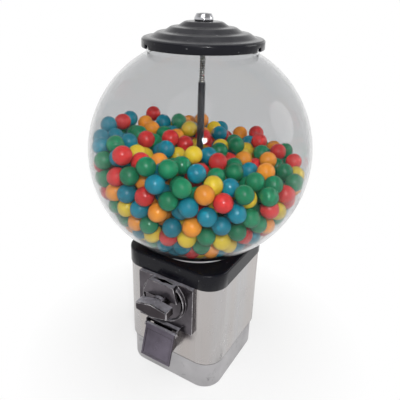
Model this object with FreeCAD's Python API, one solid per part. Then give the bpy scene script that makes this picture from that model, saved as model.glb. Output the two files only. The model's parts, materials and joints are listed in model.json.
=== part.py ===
import FreeCAD, Part
import math
import os
import random

# Gumball machine with a clear globe, a rounded-square body and a coin mechanism.
# Millimetres, +Z up, front is -Y, origin at the middle of the underside of the base.

V = FreeCAD.Vector

# Gumballs and globe
BALL_D = 22.0
BALL_GAP = 0.2
BALL_STEPS = 11
FILL_ABOVE_MIDDLE = 11.0
FILL_TILT = 0.16
FILL_TILT_AZIMUTH = 212.0
GLOBE_R = 140.0
GLOBE_WALL = 3.0
GLOBE_FOOT_H = 3.6
GLOBE_NECK_R = 66.0
GLOBE_NECK_H = 9.6
GLOBE_BEAD = 1.5
GLOBE_BEAD_H = 3.0

# Base, body and collar, all rounded squares given by half width and corner radius
BASE_STEP_IN = 2.5
BASE_CORNER_R = 26.5
BASE_H = 43.0
BASE_WALL = 3.0
BASE_FLOOR = 4.0
BASE_RIM_W = 10.0
BASE_RIM_T = 4.0
BASE_LIP_H = 4.0
BASE_EDGE = 1.2
BOLT_SPACING = 90.0
BOLT_HOLE_R = 3.5
BODY_HALF = 72.5
BODY_CORNER_R = 28.0
BODY_H = 121.0
BODY_WALL = 1.5
COLLAR_PROUD = 1.0
COLLAR_CORNER_R = 28.5
COLLAR_H = 23.0
COLLAR_WALL = 3.0
COLLAR_TOP = 9.0
COLLAR_EDGE_R = 3.0
COLLAR_LIP_H = 5.0
COLLAR_RECESS_ROOM = 2.5
COLLAR_RECESS_DEPTH = 6.0

# Clearances, the least corner radius of an inner wall, and how near an edge lies to the level it is on
SEAT_GAP = 0.3
RUN_FIT = 0.05
SLIDE_GAP = 0.5
PAWL_TIP_GAP = 0.6
MIN_CORNER_R = 1.0
TOUCH = 1e-4

# Hopper and product wheel
HOPPER_SETBACK = 20.5
HOPPER_WALL = 2.0
HOPPER_FLANGE_T = 2.0
HOPPER_FLOOR = 2.5
WINDOW_ROOM = 1.5
FOOT_OUTSIDE_HOPPER = 7.0
GASKET_T = 1.5
GASKET_LIP_OVERLAP = 2.0
GASKET_LIP_T = 1.0
POCKET_R = 12.3
POCKET_WALL = 2.2
OUTLET_R = 13.0
OUTLET_AZIMUTH = 180.0
HUB_R = 8.0
BUSH_WALL = 2.0
GUARD_T = 3.0
GUARD_R = 15.0
BRUSH_T = 2.0
BRUSH_L = 20.0

# Crown gear under the wheel and the pinion that turns it
CROWN_TEETH = 48
CROWN_INSET = 3.0
CROWN_FACE = 5.0
PINION_TEETH = 8
PINION_FACE = 3.0
PINION_HUB_R = 5.8
PINION_HUB_L = 3.0
ADDENDUM = 1.30
DEDENDUM = 1.90
FLANK_ANGLE = 25.0
BACKLASH = 0.9

# Centre rod
ROD_R = 3.25
ROD_TOP_ABOVE_SEAT = 19.0
SLEEVE_WALL = 1.1
SLEEVE_ABOVE_MIDDLE = 88.0
ROD_NUT_AF = 11.0
ROD_NUT_H = 5.5
WASHER_R = 9.0
WASHER_T = 1.5
ROD_BOSS_R = 13.0
ROD_POCKET_R = 10.0
ROD_POCKET_DEPTH = 8.5

# Coin mechanism
MECH_AXIS_BELOW_TOP = 28.5
PLATE_HALF_W = 42.0
PLATE_T = 5.5
PLATE_BOTTOM_BELOW_TOP = 72.0
PLATE_CORNER_R = 2.0
RING_R = 32.0
RING_WALL = 1.6
RING_PROUD = 6.0
RING_GAP = 2.5
COIN_WHEEL_T = 4.6
COIN_R = 12.2
COIN_SLOT_L = 27.0
COIN_SLOT_W = 3.0
HOOD_TOP_HALF = 19.0
HOOD_BOTTOM_HALF = 26.5
HOOD_H = 20.0
HOOD_TOP_PROUD = 10.5
HOOD_BOTTOM_PROUD = 13.0
SHAFT_R = 4.0
HANDLE_L = 48.0
HANDLE_TIP_T = 10.5
HANDLE_MID_T = 20.0
HANDLE_REST_TURN = 3.0
HANDLE_DEPTH = 15.0
HANDLE_STANDOFF = 12.0
HANDLE_HUB_R = 10.5
HANDLE_EDGE = 0.8
BACKPLATE_T = 3.0
BACKPLATE_STANDOFF = 15.5
BACKPLATE_HALF_W = 33.0
BACKPLATE_HALF_H = 24.0
POST_R = 3.0
POST_STUD_R = 2.0
POST_X = 27.0
POST_Z = 18.0
POST_ROOM = 2.0
MECH_NUT_AF = 7.0
MECH_NUT_H = 3.0
RATCHET_TEETH = 12
RATCHET_R = 18.0
RATCHET_DEPTH = 2.5
RATCHET_LEAN = 2.0
RATCHET_T = 4.0
RATCHET_SETBACK = 2.5
PAWL_X = 25.0
PAWL_Z = 10.0
PAWL_PIN_R = 2.0
PAWL_HUB_R = 4.5
PAWL_ARM_T = 3.6
PAWL_TIP_AZIMUTH = 60.0
CLIP_T = 1.0
CLIP_R = 6.5
BUSH_R = 6.0

# Chute and flap
SPOUT_HALF = 15.0
SPOUT_WALL = 2.0
SPOUT_BOTTOM_ABOVE_BASE = 12.0
SPOUT_ROOF_T = 5.0
SPOUT_ROOF_PROUD = 12.0
EAR_T = 2.0
FLAP_W = 46.0
FLAP_L = 43.5
FLAP_T = 2.5
FLAP_BORDER = 3.0
FLAP_PANEL_SINK = 0.7
FLAP_TILT = 17.5
FLAP_PIN_R = 1.5
FLAP_KNUCKLE_R = 3.0
FLAP_PIN_DROP = 7.0
CHUTE_TUBE_R = 15.0
CHUTE_HALF = 15.5
CHUTE_WALL = 1.7
CHUTE_SIDE_H = 20.0
CHUTE_FALL = 42.0
CHUTE_END_ABOVE_SPOUT = 7.0

# Lid and lock
LID_OVERHANG = 5.8
LID_SKIRT_H = 11.0
LID_SKIRT_WALL = 3.5
LID_EDGE = 2.0
LID_SEAT_BELOW_RIM = 5.5
LID_STEPS = 3
LID_TREAD_W = 8.0
LID_TREAD_RISE = 0.675
LID_RISER_W = 8.0
LID_RISER_H = 5.2
LID_WAVE_R = 8.0
LID_SHELL_T = 3.5
LID_NOTCHES = 3
LID_NOTCH_W = 8.0
LID_NOTCH_H = 4.5
LOCK_R = 8.0
LOCK_BEZEL_R = 11.0
LOCK_BEZEL_TOP_R = 8.6
LOCK_BEZEL_H = 7.8
LOCK_BEZEL_SIDE_H = 3.0
LOCK_PLUG_R = 5.5
LOCK_PLUG_SINK = 1.2
LOCK_KEY_R = 2.6
LOCK_KEY_DEPTH = 4.0
LOCK_BODY_L = 9.0
LOCK_NUT_R = 13.0
LOCK_NUT_T = 2.5

# Levels and places that follow from the sizes above
BODY_TOP_Z = BASE_H + BODY_H
COLLAR_TOP_Z = BODY_TOP_Z + COLLAR_H
BASE_HALF = BODY_HALF - BASE_STEP_IN
COLLAR_HALF = BODY_HALF + COLLAR_PROUD
HOPPER_R = BODY_HALF - HOPPER_SETBACK - HOPPER_WALL
GLOBE_FOOT_R = HOPPER_R + FOOT_OUTSIDE_HOPPER
COLLAR_RECESS_R = GLOBE_FOOT_R + COLLAR_RECESS_ROOM
RECESS_Z = COLLAR_TOP_Z - COLLAR_RECESS_DEPTH
FLANGE_Z = RECESS_Z + HOPPER_FLANGE_T
FOOT_Z = FLANGE_Z + GASKET_T
GLOBE_Z = FOOT_Z + GLOBE_FOOT_H + math.sqrt(GLOBE_R**2 - GLOBE_FOOT_R**2)
NECK_Z = GLOBE_Z + math.sqrt(GLOBE_R**2 - GLOBE_NECK_R**2)
NECK_TOP_Z = NECK_Z + GLOBE_NECK_H
FILL_LEVEL = GLOBE_Z + FILL_ABOVE_MIDDLE
SLEEVE_TOP = GLOBE_Z + SLEEVE_ABOVE_MIDDLE
LID_R = GLOBE_NECK_R + LID_OVERHANG
LID_SEAT_Z = NECK_TOP_Z + GASKET_T
LID_BOTTOM_Z = LID_SEAT_Z - LID_SEAT_BELOW_RIM
LID_SHOULDER_Z = LID_BOTTOM_Z + LID_SKIRT_H
LID_TOP_Z = LID_SHOULDER_Z + LID_STEPS * (LID_RISER_H + LID_TREAD_RISE) + LID_TREAD_RISE
MECH_Z = BODY_TOP_Z - MECH_AXIS_BELOW_TOP
BODY_FRONT = -BODY_HALF
PLATE_FRONT = BODY_FRONT - PLATE_T
PLATE_BOTTOM_Z = BODY_TOP_Z - PLATE_BOTTOM_BELOW_TOP
PLATE_TOP_Z = BODY_TOP_Z - SEAT_GAP
COIN_WHEEL_R = RING_R - RING_WALL - RING_GAP
COIN_WHEEL_BACK = PLATE_FRONT - SLIDE_GAP
COIN_WHEEL_FRONT = COIN_WHEEL_BACK - COIN_WHEEL_T
HANDLE_BACK = COIN_WHEEL_FRONT - HANDLE_STANDOFF
HANDLE_FRONT = HANDLE_BACK - HANDLE_DEPTH
BACKPLATE_Y = BODY_FRONT + BACKPLATE_STANDOFF
CROWN_R = HOPPER_R - CROWN_INSET
MODULE = 2 * CROWN_R / CROWN_TEETH
PINION_R = MODULE * PINION_TEETH / 2
PITCH_Z = MECH_Z + PINION_R
WHEEL_Z = PITCH_Z + DEDENDUM
WHEEL_TOP_Z = WHEEL_Z + BALL_D + SLIDE_GAP
WHEEL_R = HOPPER_R - SLIDE_GAP
POCKET_PITCH_R = CROWN_R - CROWN_FACE / 2 - POCKET_WALL - POCKET_R
POCKETS = int(math.pi / math.asin((POCKET_R + POCKET_WALL) / POCKET_PITCH_R))
PLATEAU_Z = WHEEL_Z - SEAT_GAP
PLATEAU_R = CROWN_R - CROWN_FACE / 2 - SLIDE_GAP
CUP_FLOOR_Z = PITCH_Z - ADDENDUM - SLIDE_GAP
CUP_BOTTOM_Z = CUP_FLOOR_Z - HOPPER_FLOOR
HUB_TOP_Z = WHEEL_TOP_Z + SLIDE_GAP
GUARD_TOP_Z = HUB_TOP_Z + GUARD_T
SLEEVE_R = ROD_R + SLEEVE_WALL + RUN_FIT
PINION_Y = -CROWN_R - PINION_FACE / 2
SHAFT_END_Y = PINION_Y + PINION_FACE
PIN_Y = PLATE_FRONT - SPOUT_ROOF_PROUD + FLAP_KNUCKLE_R
PIN_Z = PLATE_BOTTOM_Z + SPOUT_ROOF_T - FLAP_PIN_DROP
SPOUT_BOTTOM_Z = BASE_H + SPOUT_BOTTOM_ABOVE_BASE
CHUTE_END_Z = SPOUT_BOTTOM_Z + CHUTE_END_ABOVE_SPOUT
CHUTE_TOP_Z = CHUTE_END_Z + CHUTE_FALL


def polar(radius, azimuth, z=0.0):
    angle = math.radians(azimuth)
    return V(radius * math.cos(angle), radius * math.sin(angle), z)


def cylinder(radius, z0, z1, x=0.0, y=0.0):
    return Part.makeCylinder(radius, z1 - z0, V(x, y, z0))


def rod_y(radius, y0, y1, x=0.0, z=MECH_Z):
    """Round bar along Y between two depths."""
    low = min(y0, y1)
    return Part.makeCylinder(radius, abs(y1 - y0), V(x, low, z), V(0, 1, 0))


def tube(outer, inner, z0, z1):
    return cylinder(outer, z0, z1).cut(cylinder(inner, z0, z1))


def box(x0, x1, y0, y1, z0, z1):
    return Part.makeBox(x1 - x0, y1 - y0, z1 - z0, V(x0, y0, z0))


def union(pieces):
    return pieces[0].multiFuse(pieces[1:]).removeSplitter()


def polygon_face(points):
    return Part.Face(Part.makePolygon(points + points[:1]))


def front_prism(points, y0, y1):
    """Solid between two depths from an outline of (x, z) points."""
    return polygon_face([V(x, y0, z) for x, z in points]).extrude(V(0, y1 - y0, 0))


def side_prism(points, half_width):
    """Solid across X from an outline of (y, z) points."""
    return polygon_face([V(-half_width, y, z) for y, z in points]).extrude(V(2 * half_width, 0, 0))


def revolve(points):
    """Turned solid from an outline of (radius, z) points."""
    return polygon_face([V(r, 0, z) for r, z in points]).revolve(V(0, 0, 0), V(0, 0, 1), 360)


def rounded_square(half, corner, z0, z1):
    """Upright prism with a rounded-square plan."""
    flat = half - corner
    edges = []
    for quarter in range(4):
        turn = FreeCAD.Rotation(V(0, 0, 1), 90 * quarter)
        start = V(half, -flat, z0)
        end = V(half, flat, z0)
        middle = V(flat + corner * math.sqrt(0.5), flat + corner * math.sqrt(0.5), z0)
        after = V(flat, half, z0)
        edges.append(Part.LineSegment(turn.multVec(start), turn.multVec(end)).toShape())
        arc = Part.Arc(turn.multVec(end), turn.multVec(middle), turn.multVec(after))
        edges.append(arc.toShape())
    return Part.Face(Part.Wire(edges)).extrude(V(0, 0, z1 - z0))


def inset(half, corner, depth, z0, z1):
    """Rounded square moved inwards by a wall."""
    return rounded_square(half - depth, max(corner - depth, MIN_CORNER_R), z0, z1)


def edges_at_z(shape, z):
    found = []
    for edge in shape.Edges:
        bounds = edge.BoundBox
        if abs(bounds.ZMin - z) < TOUCH and abs(bounds.ZMax - z) < TOUCH:
            found.append(edge)
    return found


def hexagon(across_flats, z0, z1, bore, x=0.0, y=0.0):
    """Hexagon nut standing on z0."""
    corner = across_flats / math.sqrt(3)
    points = [V(x, y, z0) + polar(corner, 60 * step) for step in range(6)]
    return polygon_face(points).extrude(V(0, 0, z1 - z0)).cut(cylinder(bore, z0, z1, x, y))


def base_tray():
    """Cast tray that takes the coins and carries the body on its rim."""
    lip_half = BASE_HALF - BASE_RIM_W
    lip_corner = BASE_CORNER_R - BASE_RIM_W
    shell = rounded_square(BASE_HALF, BASE_CORNER_R, 0, BASE_H)
    shell = shell.makeChamfer(BASE_EDGE, edges_at_z(shell, 0) + edges_at_z(shell, BASE_H))
    lip = rounded_square(lip_half + BASE_WALL, lip_corner + BASE_WALL, BASE_H - BASE_RIM_T,
                         BASE_H + BASE_LIP_H)
    inner = inset(BASE_HALF, BASE_CORNER_R, BASE_WALL, BASE_FLOOR, BASE_H - BASE_RIM_T)
    mouth = rounded_square(lip_half, lip_corner, BASE_FLOOR, BASE_H + BASE_LIP_H)
    boss_top = ROD_POCKET_DEPTH + BASE_FLOOR
    boss = cylinder(ROD_BOSS_R, 0, boss_top)
    shell = shell.fuse(lip).cut(inner).cut(mouth).fuse(boss)
    cuts = [cylinder(ROD_POCKET_R, 0, ROD_POCKET_DEPTH)]
    cuts.append(cylinder(ROD_R + RUN_FIT, 0, boss_top))
    for corner in range(4):
        place = polar(BOLT_SPACING / math.sqrt(2), 45 + 90 * corner)
        cuts.append(cylinder(BOLT_HOLE_R, 0, BASE_FLOOR, place.x, place.y))
    return shell.cut(cuts).removeSplitter()


def body_shell():
    """Folded sheet sleeve with turned-in edges and openings for the mechanism and the chute."""
    shell = rounded_square(BODY_HALF, BODY_CORNER_R, BASE_H, BODY_TOP_Z)
    hollow = inset(BODY_HALF, BODY_CORNER_R, BODY_WALL, BASE_H + BODY_WALL, BODY_TOP_Z - BODY_WALL)
    lip = BASE_RIM_W - BASE_WALL - SEAT_GAP
    foot = rounded_square(BASE_HALF - lip, BASE_CORNER_R - lip, BASE_H, BASE_H + BODY_WALL)
    inner_half = BODY_HALF - BODY_WALL
    mouth = inset(inner_half, BODY_CORNER_R, BASE_RIM_W, BODY_TOP_Z - BODY_WALL, BODY_TOP_Z)
    wall = (BODY_FRONT, BODY_FRONT + BODY_WALL)
    coin_hole_half = POST_X + POST_R + POST_ROOM
    coin_hole_z = POST_Z + POST_R + POST_ROOM
    coin_low = MECH_Z - COIN_WHEEL_R
    coin_hole = box(-coin_hole_half, coin_hole_half, *wall, coin_low, MECH_Z + coin_hole_z)
    throat = SPOUT_HALF - SPOUT_WALL / 2 + SEAT_GAP
    exit_bottom = SPOUT_BOTTOM_Z + SPOUT_WALL / 2 - SEAT_GAP
    exit_top = PLATE_BOTTOM_Z - SPOUT_WALL / 2
    exit_hole = box(-throat, throat, *wall, exit_bottom, exit_top)
    return shell.cut([hollow, foot, mouth, coin_hole, exit_hole]).removeSplitter()


def collar():
    """Black moulded collar that caps the body and carries the globe in a round recess."""
    block = rounded_square(COLLAR_HALF, COLLAR_CORNER_R, BODY_TOP_Z, COLLAR_TOP_Z)
    block = block.makeFillet(COLLAR_EDGE_R, edges_at_z(block, COLLAR_TOP_Z))
    lip_in = BODY_HALF - BODY_WALL - BASE_RIM_W - SEAT_GAP
    lip_corner = BODY_CORNER_R - BASE_RIM_W - SEAT_GAP
    lip = rounded_square(lip_in, lip_corner, BODY_TOP_Z - COLLAR_LIP_H, COLLAR_TOP_Z - COLLAR_TOP)
    hollow = inset(COLLAR_HALF, COLLAR_CORNER_R, COLLAR_WALL, BODY_TOP_Z, COLLAR_TOP_Z - COLLAR_TOP)
    lip_bore = inset(lip_in, lip_corner, COLLAR_WALL, BODY_TOP_Z - COLLAR_LIP_H, COLLAR_TOP_Z - COLLAR_TOP)
    bore = cylinder(HOPPER_R + HOPPER_WALL + SEAT_GAP, BODY_TOP_Z, COLLAR_TOP_Z)
    recess = cylinder(COLLAR_RECESS_R, RECESS_Z, COLLAR_TOP_Z)
    return block.cut(hollow).fuse(lip.cut(lip_bore)).cut([bore, recess]).removeSplitter()


def hopper_cup():
    """Cup hung in the collar: wheel chamber, raised floor, hub and gear window."""
    outer = HOPPER_R + HOPPER_WALL
    flange_r = COLLAR_RECESS_R - SLIDE_GAP
    cup = cylinder(outer, CUP_BOTTOM_Z, FLANGE_Z).fuse(cylinder(flange_r, RECESS_Z, FLANGE_Z))
    cup = cup.cut(cylinder(HOPPER_R, CUP_FLOOR_Z, FLANGE_Z))
    hub = cylinder(HUB_R, CUP_BOTTOM_Z, HUB_TOP_Z)
    cup = union([cup, cylinder(PLATEAU_R, CUP_BOTTOM_Z, PLATEAU_Z), hub])
    outlet = polar(POCKET_PITCH_R, OUTLET_AZIMUTH)
    half = PINION_R + ADDENDUM + WINDOW_ROOM
    reach = math.sqrt(PLATEAU_R**2 - half**2)
    window_top = PITCH_Z + ADDENDUM + WINDOW_ROOM
    window = box(-half, half, -outer, -reach, CUP_BOTTOM_Z, window_top)
    window = window.cut(cylinder(PLATEAU_R, CUP_BOTTOM_Z, window_top))
    holes = [cylinder(ROD_R + RUN_FIT, CUP_BOTTOM_Z, HUB_TOP_Z), window]
    holes.append(cylinder(OUTLET_R, CUP_BOTTOM_Z, PLATEAU_Z, outlet.x, outlet.y))
    return cup.cut(holes).removeSplitter()


def crown_tooth():
    """One radial tooth under the wheel at the front, wider outwards, as the pitch grows."""
    pitch = 2 * math.pi / CROWN_TEETH
    slope = math.tan(math.radians(FLANK_ANGLE))
    sections = []
    for radius in (CROWN_R - CROWN_FACE / 2, CROWN_R + CROWN_FACE / 2):
        half = (radius * pitch / 2 - BACKLASH / 2) / 2
        top = half + DEDENDUM * slope
        tip = half - ADDENDUM * slope
        corners = [(-top, WHEEL_Z), (top, WHEEL_Z), (tip, PITCH_Z - ADDENDUM), (-tip, PITCH_Z - ADDENDUM)]
        sections.append(Part.makePolygon([V(x, -radius, z) for x, z in corners + corners[:1]]))
    return Part.makeLoft(sections, True, True)


def product_wheel():
    """Wheel of ball pockets with a crown gear underneath."""
    wheel = cylinder(WHEEL_R, WHEEL_Z, WHEEL_TOP_Z)
    holes = [cylinder(HUB_R + BUSH_WALL, WHEEL_Z, WHEEL_TOP_Z)]
    for pocket in range(POCKETS):
        place = polar(POCKET_PITCH_R, OUTLET_AZIMUTH + 360 / POCKETS * pocket)
        holes.append(cylinder(POCKET_R, WHEEL_Z, WHEEL_TOP_Z, place.x, place.y))
    wheel = wheel.cut(holes)
    teeth = []
    for index in range(CROWN_TEETH):
        tooth = crown_tooth()
        tooth.rotate(V(0, 0, 0), V(0, 0, 1), 360 / CROWN_TEETH * index)
        teeth.append(tooth)
    return wheel.multiFuse(teeth).removeSplitter()


def wheel_bush():
    return tube(HUB_R + BUSH_WALL, HUB_R + RUN_FIT, WHEEL_Z, WHEEL_TOP_Z)


def ball_guard():
    """Cap over the pocket that is emptying, held on the hub by the rod sleeve."""
    place = polar(POCKET_PITCH_R, OUTLET_AZIMUTH)
    ring = cylinder(HUB_R, HUB_TOP_Z, GUARD_TOP_Z)
    cap = cylinder(GUARD_R, HUB_TOP_Z, GUARD_TOP_Z, place.x, place.y)
    arm = box(-POCKET_PITCH_R, 0, -HUB_R, HUB_R, HUB_TOP_Z, GUARD_TOP_Z)
    arm.rotate(V(0, 0, 0), V(0, 0, 1), OUTLET_AZIMUTH - 180)
    return union([ring, cap, arm]).cut(cylinder(ROD_R + RUN_FIT, HUB_TOP_Z, GUARD_TOP_Z))


def guard_brush():
    """Bristle strip along the guard's leading side, sweeping loose balls off the wheel."""
    strip = box(-BRUSH_L / 2, BRUSH_L / 2, -BRUSH_T, 0, WHEEL_TOP_Z + SEAT_GAP, GUARD_TOP_Z)
    strip.rotate(V(0, 0, 0), V(0, 0, 1), OUTLET_AZIMUTH + 180)
    strip.translate(polar(POCKET_PITCH_R, OUTLET_AZIMUTH) + V(0, -GUARD_R, 0))
    return strip


def center_rod():
    rod = cylinder(ROD_R, 0, LID_SEAT_Z + ROD_TOP_ABOVE_SEAT)
    return rod.makeChamfer(SLIDE_GAP, edges_at_z(rod, LID_SEAT_Z + ROD_TOP_ABOVE_SEAT))


def rod_sleeve():
    return tube(SLEEVE_R, ROD_R + RUN_FIT, GUARD_TOP_Z, SLEEVE_TOP)


def rod_washer():
    return tube(WASHER_R, ROD_R + RUN_FIT, ROD_POCKET_DEPTH - WASHER_T, ROD_POCKET_DEPTH)


def rod_nut():
    top = ROD_POCKET_DEPTH - WASHER_T
    return hexagon(ROD_NUT_AF, top - ROD_NUT_H, top, ROD_R)


def globe_gasket():
    """Pale ring under and round the globe's foot, with a lip over the edge of the recess."""
    inner = GLOBE_FOOT_R - GLOBE_WALL - SLIDE_GAP
    waist = COLLAR_RECESS_R - SEAT_GAP
    lip_r = COLLAR_RECESS_R + GASKET_LIP_OVERLAP
    lip_top = COLLAR_TOP_Z + GASKET_LIP_T
    foot_r = GLOBE_FOOT_R + SEAT_GAP
    points = [(inner, FLANGE_Z), (waist, FLANGE_Z), (waist, COLLAR_TOP_Z), (lip_r, COLLAR_TOP_Z)]
    points += [(lip_r, lip_top), (foot_r, lip_top), (foot_r, FOOT_Z), (inner, FOOT_Z)]
    return revolve(points)


def globe():
    """Blown sphere with a straight foot, an open neck and a bead round its rim."""
    inner_r = GLOBE_R - GLOBE_WALL
    foot_in = GLOBE_FOOT_R - GLOBE_WALL
    neck_in = GLOBE_NECK_R - GLOBE_WALL
    bead_r = GLOBE_NECK_R + GLOBE_BEAD
    bead_z = NECK_TOP_Z - GLOBE_BEAD_H
    foot_top = V(GLOBE_FOOT_R, 0, FOOT_Z + GLOBE_FOOT_H)
    neck_base = V(GLOBE_NECK_R, 0, NECK_Z)
    inner_neck = V(neck_in, 0, GLOBE_Z + math.sqrt(inner_r**2 - neck_in**2))
    inner_foot = V(foot_in, 0, GLOBE_Z - math.sqrt(inner_r**2 - foot_in**2))
    rim = [neck_base, V(GLOBE_NECK_R, 0, bead_z), V(bead_r, 0, bead_z), V(bead_r, 0, NECK_TOP_Z)]
    rim += [V(neck_in, 0, NECK_TOP_Z), inner_neck]
    foot = [inner_foot, V(foot_in, 0, FOOT_Z), V(GLOBE_FOOT_R, 0, FOOT_Z), foot_top]
    outer_arc = Part.Arc(foot_top, V(GLOBE_R, 0, GLOBE_Z), neck_base).toShape()
    inner_arc = Part.Arc(inner_neck, V(inner_r, 0, GLOBE_Z), inner_foot).toShape()
    edges = [outer_arc] + Part.makePolygon(rim).Edges + [inner_arc] + Part.makePolygon(foot).Edges
    return Part.Face(Part.Wire(Part.sortEdges(edges)[0])).revolve(V(0, 0, 0), V(0, 0, 1), 360)


def lid_waves():
    """Treads and risers of the lid's top, from the shoulder inwards."""
    radius = LID_R - LID_EDGE
    z = LID_SHOULDER_Z
    points = []
    for _ in range(LID_STEPS):
        radius -= LID_TREAD_W
        z += LID_TREAD_RISE
        points.append((radius, z))
        radius -= LID_RISER_W
        z += LID_RISER_H
        points.append((radius, z))
    return points


def lid():
    """Moulded lid with rounded terraces, a skirt over the neck and notches in its lower edge."""
    waves = lid_waves()
    points = [(LID_R, LID_BOTTOM_Z), (LID_R, LID_SHOULDER_Z - LID_EDGE), (LID_R - LID_EDGE, LID_SHOULDER_Z)]
    points += waves + [(LOCK_R, LID_TOP_Z)]
    skirt_in = LID_R - LID_SKIRT_WALL
    seat_in = GLOBE_NECK_R - GLOBE_WALL - LID_EDGE
    under_z = LID_TOP_Z - LID_SHELL_T
    points += [(LOCK_R, under_z), (LOCK_NUT_R + LID_EDGE, under_z)]
    points += [(seat_in, LID_SEAT_Z + LID_SHELL_T), (seat_in, LID_SEAT_Z)]
    points += [(skirt_in, LID_SEAT_Z), (skirt_in, LID_BOTTOM_Z)]
    body = revolve(points)
    ridges = []
    for _, z in waves:
        ridges += edges_at_z(body, z)
    body = body.makeFillet(LID_WAVE_R, ridges)
    notches = []
    for index in range(LID_NOTCHES):
        notch = box(skirt_in - LID_EDGE, LID_R, -LID_NOTCH_W / 2, LID_NOTCH_W / 2,
                    LID_BOTTOM_Z, LID_BOTTOM_Z + LID_NOTCH_H)
        notch.rotate(V(0, 0, 0), V(0, 0, 1), 360 / LID_NOTCHES * index)
        notches.append(notch)
    return body.cut(notches)


def lid_gasket():
    bead_r = GLOBE_NECK_R + GLOBE_BEAD
    return tube(bead_r, GLOBE_NECK_R - GLOBE_WALL, NECK_TOP_Z, LID_SEAT_Z)


def lock_barrel():
    """Bezel and threaded barrel of the lid lock."""
    top = LID_TOP_Z + LOCK_BEZEL_H
    points = [(LOCK_PLUG_R + RUN_FIT, LID_TOP_Z - LOCK_BODY_L), (LOCK_R, LID_TOP_Z - LOCK_BODY_L)]
    points += [(LOCK_R, LID_TOP_Z), (LOCK_BEZEL_R, LID_TOP_Z), (LOCK_BEZEL_R, LID_TOP_Z + LOCK_BEZEL_SIDE_H)]
    points += [(LOCK_BEZEL_TOP_R, top), (LOCK_PLUG_R + RUN_FIT, top)]
    return revolve(points)


def lock_plug():
    """Turning core with a round key socket above and a socket over the rod's tip below."""
    top = LID_TOP_Z + LOCK_BEZEL_H - LOCK_PLUG_SINK
    bottom = LID_TOP_Z - LOCK_BODY_L
    core = cylinder(LOCK_PLUG_R, bottom, top)
    key = tube(LOCK_PLUG_R - LOCK_PLUG_SINK, LOCK_KEY_R, top - LOCK_KEY_DEPTH, top)
    tip_z = LID_SEAT_Z + ROD_TOP_ABOVE_SEAT
    socket = cylinder(ROD_R + SEAT_GAP, min(bottom, tip_z), tip_z + SEAT_GAP)
    return core.cut([key, socket])


def lock_nut():
    top = LID_TOP_Z - LID_SHELL_T
    return tube(LOCK_NUT_R, LOCK_R, top - LOCK_NUT_T, top)


def mech_hood():
    """Coin entry cover: a block flared downwards, arched round the handle's hub, with a leaning face."""
    bottom = PLATE_TOP_Z - HOOD_H
    plan = [(-HOOD_TOP_HALF, PLATE_TOP_Z), (HOOD_TOP_HALF, PLATE_TOP_Z)]
    plan += [(HOOD_BOTTOM_HALF, bottom), (-HOOD_BOTTOM_HALF, bottom)]
    side = [(PLATE_FRONT, bottom), (PLATE_FRONT - HOOD_BOTTOM_PROUD, bottom)]
    side += [(PLATE_FRONT - HOOD_TOP_PROUD, PLATE_TOP_Z), (PLATE_FRONT, PLATE_TOP_Z)]
    depth = PLATE_FRONT - HOOD_BOTTOM_PROUD - HOOD_TOP_PROUD
    block = front_prism(plan, PLATE_FRONT, depth).common(side_prism(side, HOOD_BOTTOM_HALF))
    return block.cut(rod_y(HANDLE_HUB_R + SLIDE_GAP, PLATE_FRONT, depth))


def mech_plate():
    """Cast front plate with the dial ring, the coin hood, the coin slot and the coin drop."""
    plate = box(-PLATE_HALF_W, PLATE_HALF_W, PLATE_FRONT, BODY_FRONT, PLATE_BOTTOM_Z, PLATE_TOP_Z)
    upright = [edge for edge in plate.Edges if abs(edge.BoundBox.YLength - PLATE_T) < TOUCH]
    plate = plate.makeFillet(PLATE_CORNER_R, upright)
    ring = rod_y(RING_R, PLATE_FRONT, PLATE_FRONT - RING_PROUD)
    ring = ring.cut(rod_y(RING_R - RING_WALL, PLATE_FRONT, PLATE_FRONT - RING_PROUD))
    above = box(-RING_R, RING_R, PLATE_FRONT - RING_PROUD, PLATE_FRONT, PLATE_TOP_Z, MECH_Z + 2 * RING_R)
    plate = union([plate, ring.cut(above), mech_hood()])
    slot_y = (COIN_WHEEL_FRONT + COIN_WHEEL_BACK) / 2
    slot = box(-COIN_SLOT_L / 2, COIN_SLOT_L / 2, slot_y - COIN_SLOT_W / 2, slot_y + COIN_SLOT_W / 2,
               MECH_Z, PLATE_TOP_Z)
    drop_top = MECH_Z - COIN_WHEEL_R + 2 * COIN_R
    drop_half = COIN_SLOT_L / 2
    drop = box(-drop_half, drop_half, PLATE_FRONT, BODY_FRONT, MECH_Z - COIN_WHEEL_R, drop_top)
    chamber = rod_y(COIN_WHEEL_R + SLIDE_GAP, PLATE_FRONT, COIN_WHEEL_FRONT - SLIDE_GAP)
    bore = rod_y(SHAFT_R + RUN_FIT, PLATE_FRONT, BODY_FRONT)
    return plate.cut([chamber, slot, drop, bore]).removeSplitter()


def coin_wheel():
    """Disc that carries one coin in a round notch from the slot to the drop."""
    disc = rod_y(COIN_WHEEL_R, COIN_WHEEL_BACK, COIN_WHEEL_FRONT)
    notch = rod_y(COIN_R, COIN_WHEEL_BACK, COIN_WHEEL_FRONT, 0, MECH_Z + COIN_WHEEL_R)
    return disc.cut([notch, rod_y(SHAFT_R, COIN_WHEEL_BACK, COIN_WHEEL_FRONT)])


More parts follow.
